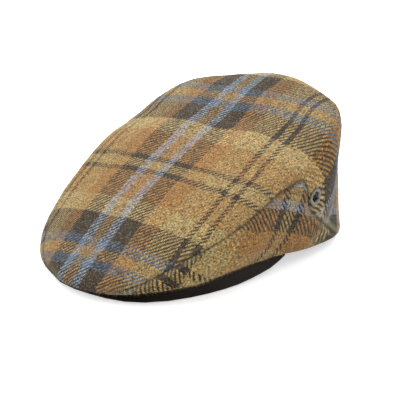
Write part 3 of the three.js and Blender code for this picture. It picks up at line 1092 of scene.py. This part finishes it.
def punch(sign):
    """A round rod through the crown where an eyelet sits."""
    work = bmesh.new()
    size = {"radius1": HOLE_RADIUS, "radius2": HOLE_RADIUS, "depth": PUNCH_LENGTH}
    bmesh.ops.create_cone(work, cap_ends=True, segments=PUNCH_SIDES, **size)
    bmesh.ops.transform(work, matrix=seat_turn(sign), verts=work.verts)
    bmesh.ops.translate(work, vec=eyelet_seat(sign) * MM, verts=work.verts)
    mesh = bpy.data.meshes.new("punch")
    work.to_mesh(mesh)
    work.free()
    tool = bpy.data.objects.new("punch", mesh)
    scene.collection.objects.link(tool)
    return tool


print("hole:", round(2 * HOLE_RADIUS / MM, 1), "mm wide")

# %% [markdown]
# A modifier is only a recipe. Evaluating the object gives the finished mesh, which then takes
# the place of the old one. The skins are copied first, because the nap grows on skins that
# have no thickness.

# %% Cloth pieces
CLOTH = 2.0 * MM


def settled(piece):
    """The object with its modifiers turned into plain mesh."""
    bpy.context.view_layer.update()
    graph = bpy.context.evaluated_depsgraph_get()
    finished = piece.evaluated_get(graph)
    made = bpy.data.meshes.new_from_object(finished, preserve_all_data_layers=True, depsgraph=graph)
    piece.modifiers.clear()
    piece.data = made
    return piece


def cloth_piece(skin, material, holes):
    """Cloth with a backing, from a skin, with eyelet holes on the sides that are named."""
    piece = bpy.data.objects.new(skin.name, skin)
    scene.collection.objects.link(piece)
    skin.materials.append(material)
    skin.materials.append(backing)
    solid = piece.modifiers.new("thickness", "SOLIDIFY")
    solid.thickness = CLOTH
    solid.offset = -1
    solid.use_rim = True
    solid.material_offset = 1
    solid.material_offset_rim = 0
    tools = [punch(sign) for sign in holes]
    for tool in tools:
        cut = piece.modifiers.new("hole", "BOOLEAN")
        cut.operation = "DIFFERENCE"
        cut.object = tool
        cut.solver = "EXACT"
    settled(piece)
    for tool in tools:
        bpy.data.objects.remove(tool)
    return piece


bare_skins = {"top": top_skin.copy(), "left": side_skins[1].copy(), "right": side_skins[-1].copy()}
for skin, material, holes, node, slot in (
    (top_skin, top_tweed, (1, -1), "top_panel", "tweed"),
    (side_skins[1], side_tweed, (), "side_panel_left", "tweed_side"),
    (side_skins[-1], top_tweed, (), "side_panel_right", "tweed_side"),
):
    piece = cloth_piece(skin, material, holes)
    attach(piece, "root")
    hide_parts(node)
    print(piece.name, "has", len(piece.data.polygons), "faces")

# %% [markdown]
# ## The nap
# Brushed wool is covered in short loose fibres. They blur its outline and soften the check.
# A hair system could grow them, but the export needs plain mesh. So Geometry Nodes make them
# as small tapered blades. The tree's sizes are inputs, so one tree serves every panel.
# First it strews points over the skin. None falls low on the hem, where a blade would have
# to pass through the table.

# %% Geometry Nodes: strewn points
TABLE_CLEARANCE = 1.2


def start_geometry_tree(name, inputs):
    """A Geometry Nodes tree with named inputs. Returns it, its inputs and its way out."""
    tree = bpy.data.node_groups.new(name, "GeometryNodeTree")
    for label, kind in (("Geometry", "Geometry"), *inputs):
        tree.interface.new_socket(label, in_out="INPUT", socket_type="NodeSocket" + kind)
    tree.interface.new_socket("Geometry", in_out="OUTPUT", socket_type="NodeSocketGeometry")
    way_out = tree.nodes.new("NodeGroupOutput").inputs[0]
    return tree, tree.nodes.new("NodeGroupInput").outputs, way_out


fibres, fibres_in, fibres_out = start_geometry_tree("wool fibres", [
    ("Density", "Float"), ("Length", "Float"), ("Width", "Float"), ("Seed", "Int"),
    ("Material", "Material"),
])
position = add_node(fibres, "GeometryNodeInputPosition")[0]
place_x, place_y, place_z = add_node(fibres, "ShaderNodeSeparateXYZ", Vector=position)
clearance = calc(fibres, "MULTIPLY", fibres_in["Length"], TABLE_CLEARANCE)
strewn = add_node(
    fibres, "GeometryNodeDistributePointsOnFaces",
    Mesh=fibres_in["Geometry"], Selection=calc(fibres, "GREATER_THAN", place_z, clearance),
    Density=fibres_in["Density"], Seed=fibres_in["Seed"],
)
print("tree:", fibres.name, "with inputs", [socket.name for socket in fibres_in if socket.name])

# %% [markdown]
# One blade starts as a narrow grid of two by three points. Set Position lifts its foot onto
# the skin, narrows its tip and curls it over. A field such as Position is read wherever it is
# used: on the skin it is the place of a point there, and here a place on the blade. A blade
# is only four triangles, because there are tens of thousands of them.

# %% Geometry Nodes: one blade
NARROWING = -0.8
CURL = 0.25

blade = add_node(
    fibres, "GeometryNodeMeshGrid",
    Size_X=fibres_in["Width"], Size_Y=fibres_in["Length"], Vertices_X=2, Vertices_Y=3,
)[0]
up_blade = calc(fibres, "ADD", calc(fibres, "DIVIDE", place_y, fibres_in["Length"]), 0.5)
taper = calc(fibres, "MULTIPLY", calc(fibres, "MULTIPLY", place_x, up_blade), NARROWING)
foot = calc(fibres, "MULTIPLY", fibres_in["Length"], 0.5)
hook = calc(fibres, "MULTIPLY", calc(fibres, "POWER", up_blade, 2.0), fibres_in["Length"])
curled = calc(fibres, "MULTIPLY", hook, CURL)
offset = add_node(fibres, "ShaderNodeCombineXYZ", X=taper, Y=foot, Z=curled)[0]
bent_blade = add_node(fibres, "GeometryNodeSetPosition", Geometry=blade, Offset=offset)[0]
print("tree:", fibres.name, "with", len(fibres.nodes), "nodes")

# %% [markdown]
# A blade is set on each point. It leans by a random amount, turns any way, and is longer or
# shorter than its neighbours. Each blade stores the place on the flat map of the cloth under
# it, so it has the right colour. The export drops instances, so the tree ends by making them
# real and giving them their material.

# %% Geometry Nodes: blades on the points
LEAN_FROM, LEAN_TO, LEAN_SEED = (0.05, -0.3, 0.0), (0.75, 0.3, 6.2832), 3
SHORTEST, LONGEST, LENGTH_SEED = 0.5, 1.3, 7

lean = add_node(
    fibres, "FunctionNodeRandomValue", {"data_type": "FLOAT_VECTOR"},
    i0=LEAN_FROM, i1=LEAN_TO, Seed=LEAN_SEED,
)[0]
leant = add_node(fibres, "FunctionNodeEulerToRotation", Euler=lean)[0]
turned = add_node(
    fibres, "FunctionNodeRotateRotation", {"rotation_space": "LOCAL"},
    Rotation=strewn["Rotation"], Rotate_By=leant,
)[0]
growth = add_node(
    fibres, "FunctionNodeRandomValue", {"data_type": "FLOAT"},
    i2=SHORTEST, i3=LONGEST, Seed=LENGTH_SEED,
)[1]
placed = add_node(
    fibres, "GeometryNodeInstanceOnPoints",
    Points=strewn["Points"], Instance=bent_blade, Rotation=turned, Scale=growth,
)[0]
as_vector = {"data_type": "FLOAT_VECTOR"}
cloth_under = add_node(fibres, "GeometryNodeInputNamedAttribute", as_vector, Name="cloth")[0]
mapped = add_node(
    fibres, "GeometryNodeStoreNamedAttribute", {**as_vector, "domain": "INSTANCE"},
    Geometry=placed, Name="cloth", Value=cloth_under,
)[0]
real = add_node(fibres, "GeometryNodeRealizeInstances", Geometry=mapped)[0]
coloured = add_node(
    fibres, "GeometryNodeSetMaterial", Geometry=real, Material=fibres_in["Material"]
)[0]
fibres.links.new(coloured, fibres_out)
print("tree:", fibres.name, "with", len(fibres.nodes), "nodes")

# %% [markdown]
# The tree is put on the copy of each skin. A modifier knows its inputs by identifiers such as
# Socket_2 and not by their names, so a small helper looks them up. The result is turned into
# plain mesh, as the cloth was.

# %% Growing the nap
FIBRE_DENSITY = 480000.0
FIBRE_LENGTH = 2.3 * MM
FIBRE_WIDTH = 0.13 * MM


def set_inputs(modifier, tree, **values):
    for item in tree.interface.items_tree:
        label = item.name.replace(" ", "_")
        if item.item_type == "SOCKET" and item.in_out == "INPUT" and label in values:
            modifier[item.identifier] = values[label]


def grown(name, skin, tree, **values):
    piece = bpy.data.objects.new(name, skin)
    scene.collection.objects.link(piece)
    modifier = piece.modifiers.new(tree.name, "NODES")
    modifier.node_group = tree
    set_inputs(modifier, tree, **values)
    return settled(piece)


for name, side, fibre, slot, seed in (
    ("top_nap", "top", top_fibre, "tweed", 11),
    ("side_nap_left", "left", side_fibre, "tweed_side", 12),
    ("side_nap_right", "right", top_fibre, "tweed_side", 13),
):
    nap_piece = grown(
        name, bare_skins[side], fibres,
        Density=FIBRE_DENSITY, Length=FIBRE_LENGTH, Width=FIBRE_WIDTH, Seed=seed, Material=fibre,
    )
    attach(nap_piece, "root")
    print(name, "has", len(nap_piece.data.polygons), "faces")

# %% [markdown]
# ## The peak
# The peak is a stiff board covered in soft dark suede. It passes under the hem and its free
# edge is rounded. The solid already has that shape, so it stays and only gets a material. The
# suede is nearly black, with a short nap that catches a little light: one fine noise for the
# nap, clouded by a broad one, as where a hand has brushed it both ways.

# %% Suede material
def solid_noise(tree, scale, detail):
    """Noise that fills space, read at each place of the piece."""
    place = add_node(tree, "ShaderNodeTexCoord")["Object"]
    return add_node(tree, "ShaderNodeTexNoise", Vector=place, Scale=scale, Detail=detail)[0]


suede, suede_tree, suede_shader = start_material("dark_suede")
suede_nap = solid_noise(suede_tree, 1400.0, 3.0)
suede_cloud = solid_noise(suede_tree, 60.0, 3.0)
suede_mix = calc(suede_tree, "MULTIPLY", calc(suede_tree, "MULTIPLY", suede_nap, suede_cloud), 2.0)
suede_colour = blend_colour(suede_tree, suede_mix, srgb(10, 8, 7), srgb(34, 27, 22))
plug(suede_tree, suede_shader, Base_Color=suede_colour, Roughness=0.9, Specular_IOR_Level=0.2)
add_relief(suede_tree, suede_shader, suede_nap, 0.4, 0.0002)
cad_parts["peak"].data.materials.clear()
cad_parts["peak"].data.materials.append(suede)
print("material:", suede.name)

# %% [markdown]
# ## The vent eyelets
# Each eyelet is a pressed metal ring: a rolled flange outside and a short barrel through the
# cloth. The metal has gone a little dull, with small darker spots. One noise drives both the
# colour and the roughness, so the dark spots are also the smoother ones.

# %% Metal material
metal, metal_tree, metal_shader = start_material("worn_and_highlit_nickel")
metal_wear = solid_noise(metal_tree, 900.0, 4.0)
metal_colour = blend_colour(metal_tree, metal_wear, srgb(16, 16, 15), srgb(118, 117, 110))
metal_roughness = calc(metal_tree, "MULTIPLY_ADD", metal_wear, 0.2, 0.1)
plug(metal_tree, metal_shader, Base_Color=metal_colour, Roughness=metal_roughness, Metallic=1.0)
print("material:", metal.name)

# %% [markdown]
# A ring is a turned shape, so its profile, a closed line of radius and height, is carried
# round in steps. The Screw modifier would do the same. In mesh code the ring can be turned
# onto the eyelet's axis and set on the cloth in the same few lines, with its object left at
# the origin.

# %% Eyelet rings
RING_PROFILE = [
    (3.7, -3.2), (4.3, -3.2), (4.3, -0.2), (6.3, 0.0), (6.7, 0.25), (6.6, 0.6),
    (5.9, 0.95), (5.1, 1.05), (4.3, 0.85), (3.75, 0.4), (3.55, -0.2), (3.5, -1.2),
]
RING_STEPS = 56
RING_SINK = 0.4


def eyelet_ring(sign):
    """One ring, sunk a little into the cloth that was flattened for it."""
    work = bmesh.new()
    loops = []
    for step in range(RING_STEPS):
        angle = 2 * math.pi * step / RING_STEPS
        x, y = math.cos(angle), math.sin(angle)
        loops.append([work.verts.new((r * x * MM, r * y * MM, z * MM)) for r, z in RING_PROFILE])
    for loop, after in zip(loops, loops[1:] + loops[:1]):
        for j in range(len(RING_PROFILE)):
            up = (j + 1) % len(RING_PROFILE)
            work.faces.new((loop[j], after[j], after[up], loop[up]))
    bmesh.ops.recalc_face_normals(work, faces=work.faces)
    bmesh.ops.transform(work, matrix=seat_turn(sign), verts=work.verts)
    seat = eyelet_seat(sign) - eyelet_axis(sign) * RING_SINK
    bmesh.ops.translate(work, vec=seat * MM, verts=work.verts)
    for face in work.faces:
        face.smooth = True
    side = "left" if sign > 0 else "right"
    mesh = bpy.data.meshes.new("eyelet_ring_" + side)
    work.to_mesh(mesh)
    work.free()
    mesh.materials.append(metal)
    ring = bpy.data.objects.new(mesh.name, mesh)
    scene.collection.objects.link(ring)
    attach(ring, "root")
    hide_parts("eyelet_" + side)
    return ring


for sign in (1, -1):
    ring = eyelet_ring(sign)
    print(ring.name, "has", len(ring.data.polygons), "faces")
